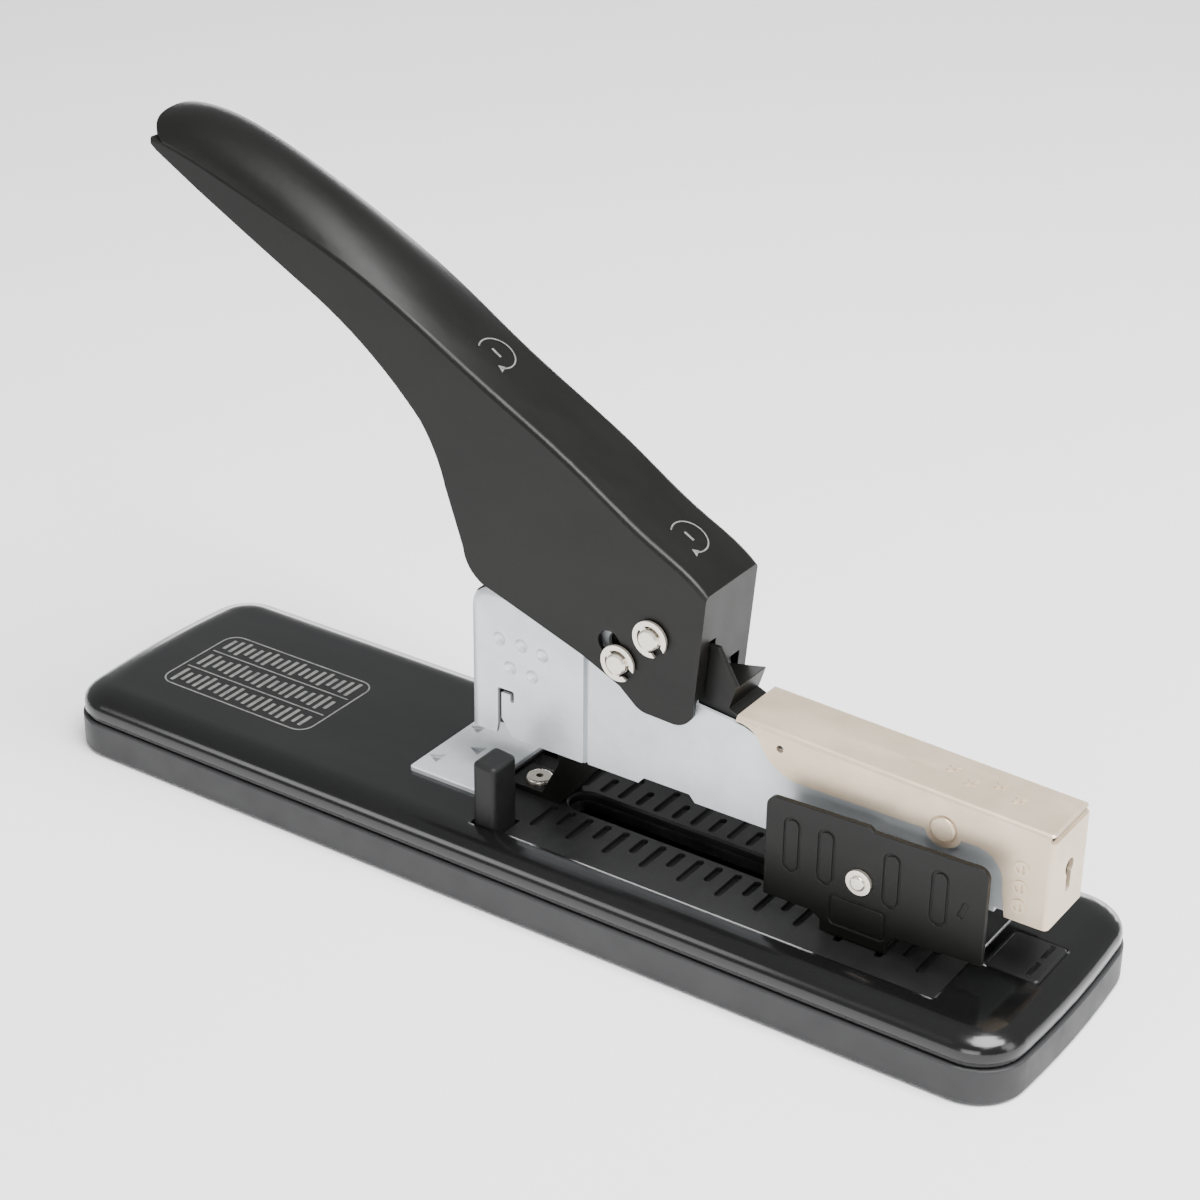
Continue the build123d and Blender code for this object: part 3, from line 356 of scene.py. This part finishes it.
# ---------------------------------------------------------------- printed table on the base
ink = printed_ink("printed_ink")
ink_sunk, ink_raised = 0.01 * MM, 0.05 * MM
shell_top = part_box("base_shell")[1].z
print_low = shell_top - ink_sunk
print_high = shell_top + ink_raised
table_rear, table_front = -113.5 * MM, -66.3 * MM
table_half = 14.2 * MM
table_y = -2.4 * MM
table_corner = 4.0 * MM
rule_spacing, row_spacing = 4.7 * MM, 9.3 * MM
bar_count, bar_width, bar_pitch = 19, 1.0 * MM, 2.25 * MM
line = 0.45 * MM


def bar(shape, x0, x1, y0, y1):
    """One flat printed bar with slightly rounded corners."""
    slab(shape, rounded(x0, x1, y0, y1, 0.15 * MM, 2), print_low, print_high)


def build_table(shape):
    """Rounded frame with rules, cells and plain bars, standing for the printed table."""
    low, high = table_y - table_half, table_y + table_half
    outer = rounded(table_rear, table_front, low, high, table_corner)
    inner = rounded(table_rear + line, table_front - line, low + line, high - line, table_corner - line)
    ring_slab(shape, outer, inner, print_low, print_high)
    for y in (table_y - rule_spacing, table_y + rule_spacing):
        bar(shape, table_rear + 1.5 * MM, table_front - 1.5 * MM, y - line / 2, y + line / 2)
    for row, y in enumerate((-row_spacing, 0.0, row_spacing)):
        for index in range(bar_count):
            x = table_rear + 2.6 * MM + index * bar_pitch
            reach = (3.4 - 0.45 * ((index * 3 + row) % 4)) * MM
            bar(shape, x, x + bar_width, table_y + y - reach, table_y + y + reach)


piece("printed_table", build_table, ink, "base")


# ---------------------------------------------------------------- springs as their own mesh copies
def soft_spring(node, body):
    """A spring piece in the place of a rigid CAD one: a copy of its mesh hung on the body, with the CAD
    node hidden.
    """
    mesh = frame["nodes"][node].data.copy()
    item = bpy.data.objects.new(node + "_coil", mesh)
    bpy.context.scene.collection.objects.link(item)
    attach(item, body)
    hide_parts(node)
    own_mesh(item)


soft_spring("button_spring", "base")
soft_spring("handle_spring", "body")
soft_spring("pusher_spring", "body")


# ---------------------------------------------------------------- painted shadows in the floor plate dimples
dimple_places = ((-32.0, -8.2), (-32.0, 8.2), (-26.0, 0.0))
dimple_radius = 2.0
dimple_low, dimple_high = 16.50 * MM, 16.56 * MM


def paint_dimple_shadows(shape):
    """Dark slabs painted as shade at the bottoms of the three pressed triangles of the floor plate."""
    turns = [math.radians(180 + 120 * step) for step in range(3)]
    for x, y in dimple_places:
        corners = [((x + dimple_radius * math.cos(turn)) * MM, (y + dimple_radius * math.sin(turn)) * MM)
                   for turn in turns]
        slab(shape, corners, dimple_low, dimple_high)


# Dark steel triangles are painted shadow in the dimples, not a part of the plate.
piece("painted_dimple_shadows", paint_dimple_shadows, slot_materials["spring"], "base")


# ---------------------------------------------------------------- press marks on the handle
def crown_height(x):
    """Height of the handle's top sheet on its middle line, found on the CAD surface itself."""
    hit, place, _, _ = frame["nodes"]["handle_shell"].ray_cast(Vector((x, 0, 0.25)), Vector((0, 0, -1)))
    return place.z if hit else 0.0


def press_mark(name, x):
    """Open ring with a short arrow barb, lying on the sloping top of the handle."""
    slope = (crown_height(x + 4 * MM) - crown_height(x - 4 * MM)) / (8 * MM)

    def build(shape):
        rims = (4.6 * MM, 4.25 * MM)
        turns = [math.radians(-35 + 250 * step / 36) for step in range(37)]
        for first, second in zip(turns, turns[1:]):
            slab(shape, [(rims[0] * math.cos(first), rims[0] * math.sin(first)),
                         (rims[0] * math.cos(second), rims[0] * math.sin(second)),
                         (rims[1] * math.cos(second), rims[1] * math.sin(second)),
                         (rims[1] * math.cos(first), rims[1] * math.sin(first))], -ink_sunk, ink_raised)
        barb = [(2.6 * MM, -2.7 * MM), (4.6 * MM, -3.4 * MM), (3.8 * MM, -1.4 * MM)]
        slab(shape, barb, -ink_sunk, ink_raised)
        slab(shape, rounded(-1.6 * MM, 1.2 * MM, -0.3 * MM, 0.3 * MM, 0.2 * MM, 2), -ink_sunk, ink_raised)
        length = math.hypot(1, slope)
        turn = Matrix(((1 / length, 0, -slope / length), (0, 1, 0), (slope / length, 0, 1 / length)))
        for vertex in shape.verts:
            vertex.co = turn @ vertex.co + Vector((x, 0, crown_height(x) + 0.02 * MM))

    return piece(name, build, ink, "handle")


press_mark("rear_press_mark", -19.3 * MM)
press_mark("front_press_mark", 31.6 * MM)


# ---------------------------------------------------------------- camera, light and floor
camera_azimuth = 34.095
camera_elevation = 27.514
camera_roll = 0.611
camera_distance = 0.5096656
camera_target = Vector((0.045803, -0.055039, 0.102648))
camera_lens = 78.80


def place_camera():
    """Camera at the reference viewing angle, rolled a little."""
    azimuth, elevation = math.radians(camera_azimuth), math.radians(camera_elevation)
    back = Vector((math.sin(azimuth) * math.cos(elevation), -math.cos(azimuth) * math.cos(elevation),
                   math.sin(elevation)))
    right = Vector((math.cos(azimuth), math.sin(azimuth), 0.0))
    up = back.cross(right)
    roll = math.radians(camera_roll)
    side = right * math.cos(roll) + up * math.sin(roll)
    top = -right * math.sin(roll) + up * math.cos(roll)
    data = bpy.data.cameras.new("camera")
    data.lens = camera_lens
    data.sensor_width = 36.0
    data.clip_start = 0.01
    camera = bpy.data.objects.new("camera", data)
    bpy.context.scene.collection.objects.link(camera)
    turn = Matrix((side, top, back)).transposed().to_4x4()
    camera.matrix_world = Matrix.Translation(camera_target + back * camera_distance) @ turn
    bpy.context.scene.camera = camera


def area_light(name, place, aim, size, power, colour=(1, 1, 1)):
    data = bpy.data.lights.new(name, "AREA")
    data.shape = "RECTANGLE"
    data.size, data.size_y = size
    data.energy = power
    data.color = colour
    light = bpy.data.objects.new(name, data)
    bpy.context.scene.collection.objects.link(light)
    light.location = place
    light.rotation_euler = (Vector(aim) - Vector(place)).to_track_quat("-Z", "Y").to_euler()


def light_studio():
    """Dim pale room with a high softbox, softer side lights and a low strip behind."""
    world = bpy.data.worlds.new("studio")
    bpy.context.scene.world = world
    world.use_nodes = True
    world.node_tree.nodes["Background"].inputs["Color"].default_value = (0.97, 0.98, 1.0, 1.0)
    world.node_tree.nodes["Background"].inputs["Strength"].default_value = 0.52
    area_light("top_softbox", (0.5, -0.1, 1.3), (0, 0, 0.05), (0.9, 0.9), 56)
    area_light("side_softbox", (0.5, -1.4, 0.35), (0, 0, 0.05), (0.9, 0.4), 9)
    area_light("left_softbox", (-0.85, -1.05, 0.95), (0, 0, 0.03), (0.5, 0.5), 5)
    area_light("rear_strip", (-0.6, 1.6, 0.15), (0, 0, 0.05), (2.2, 0.3), 14)
    area_light("front_softbox", (1.1, 0.1, 0.5), (0.1, 0, 0.03), (0.4, 0.7), 4)


def lay_floor():
    """Pale seamless floor under everything."""
    mesh = bpy.data.meshes.new("floor")
    shape = bmesh.new()
    half = 6.0
    corners = ((-half, -half), (half, -half), (half, half), (-half, half))
    shape.faces.new([shape.verts.new((x, y, -0.02 * MM)) for x, y in corners])
    shape.to_mesh(mesh)
    shape.free()
    mesh.materials.append(floor_paper("floor_paper"))
    item = bpy.data.objects.new("floor", mesh)
    bpy.context.scene.collection.objects.link(item)


place_camera()
light_studio()
lay_floor()
